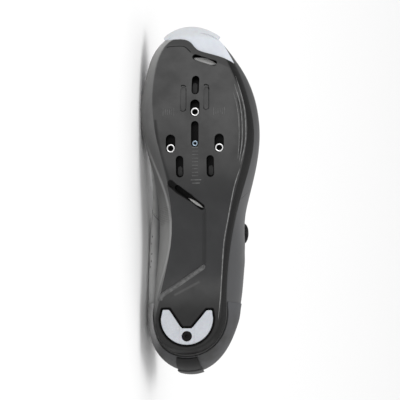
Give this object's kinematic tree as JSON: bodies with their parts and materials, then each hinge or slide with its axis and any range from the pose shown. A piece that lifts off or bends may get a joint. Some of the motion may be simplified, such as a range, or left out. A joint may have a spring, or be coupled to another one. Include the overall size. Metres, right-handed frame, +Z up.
{
  "type": "road cycling shoe",
  "caption": "Left road cycling shoe with a stiff slotted sole for three-bolt cleats, white toe bumper and heel pad, hollow upper, tongue and a wire lace dial; lies on its medial side.",
  "frame": {"origin": "centre of the bounding box's bottom face, on the floor", "axes": "+X from toe to heel; +Y away from the sole; +Z up, from the medial side, which rests on the floor, to the lateral side"},
  "size_m": [0.285, 0.1132, 0.0959],
  "materials": {
    "sole_plastic": "satin moulded grey",
    "white_rubber": "matt white, slightly soft",
    "upper_microfibre": "synthetic leather, satin grey",
    "heel_microfibre": "synthetic leather, dark grey",
    "lining_fabric": "knitted lining, dark",
    "black_plastic": "satin black",
    "bright_steel": "polished",
    "vent_mesh": "pale woven mesh"
  },
  "bodies": {
    "root": {"outsole": "sole_plastic", "toe_bumper": "white_rubber", "heel_tread": "white_rubber", "heel_screw": "black_plastic", "cleat_nut_front": "bright_steel", "cleat_nut_medial": "bright_steel", "cleat_nut_lateral": "bright_steel", "guide_nut": "bright_steel", "nut_plate": "black_plastic", "vent_mesh_front": "vent_mesh", "vent_mesh_waist": "vent_mesh", "insole": "lining_fabric", "upper": "upper_microfibre", "heel_counter": "heel_microfibre", "heel_strip": "black_plastic", "heel_tab": "heel_microfibre", "tongue": "upper_microfibre", "dial_base": "black_plastic", "dial_knob": "black_plastic", "lace_guide_upper_medial": "black_plastic", "lace_guide_upper_lateral": "black_plastic", "lace_guide_lower_medial": "black_plastic", "lace_guide_lower_lateral": "black_plastic", "wire_lace": "bright_steel"}
  },
  "joints": []
}
